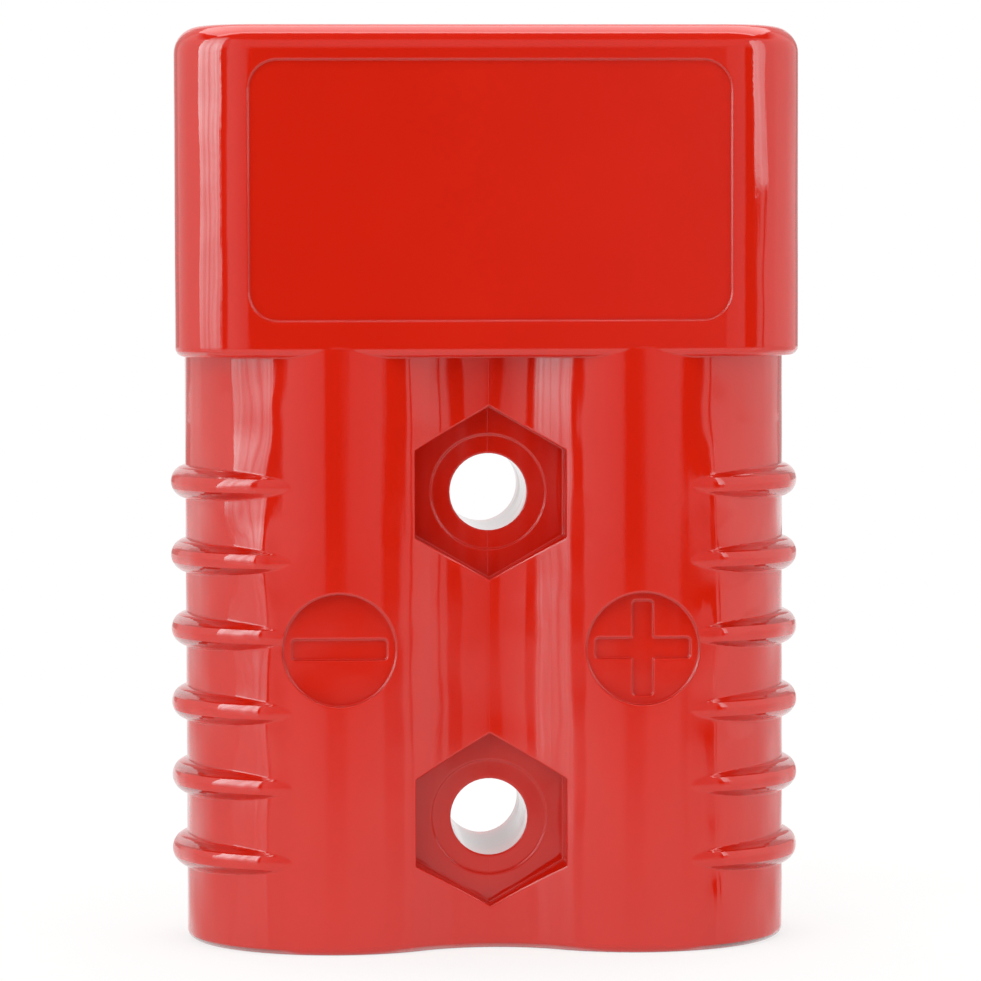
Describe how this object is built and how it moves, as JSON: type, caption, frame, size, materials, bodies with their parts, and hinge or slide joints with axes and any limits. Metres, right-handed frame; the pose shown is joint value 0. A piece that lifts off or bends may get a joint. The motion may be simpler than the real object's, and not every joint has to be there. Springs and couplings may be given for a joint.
{
  "type": "genderless power connector",
  "caption": "Two-pole genderless power connector with flat contacts in a ribbed moulded housing, side-bolted through hex nut pockets.",
  "frame": {"origin": "centre of the cable-end face, midway between the two poles", "axes": "+Z from the cable end to the mating end, +X towards the positive pole, -Y the label side; the contact faces lie in the plane y = 0"},
  "size_m": [0.0726, 0.035, 0.1047],
  "materials": {
    "housing_plastic": "moulded polycarbonate, gloss red",
    "contact_plating": null,
    "spring_steel": "stainless spring steel strip"
  },
  "bodies": {
    "root": {"housing": "housing_plastic", "contact_negative": "contact_plating", "contact_positive": "contact_plating", "spring_negative": "spring_steel", "spring_positive": "spring_steel"}
  },
  "joints": []
}
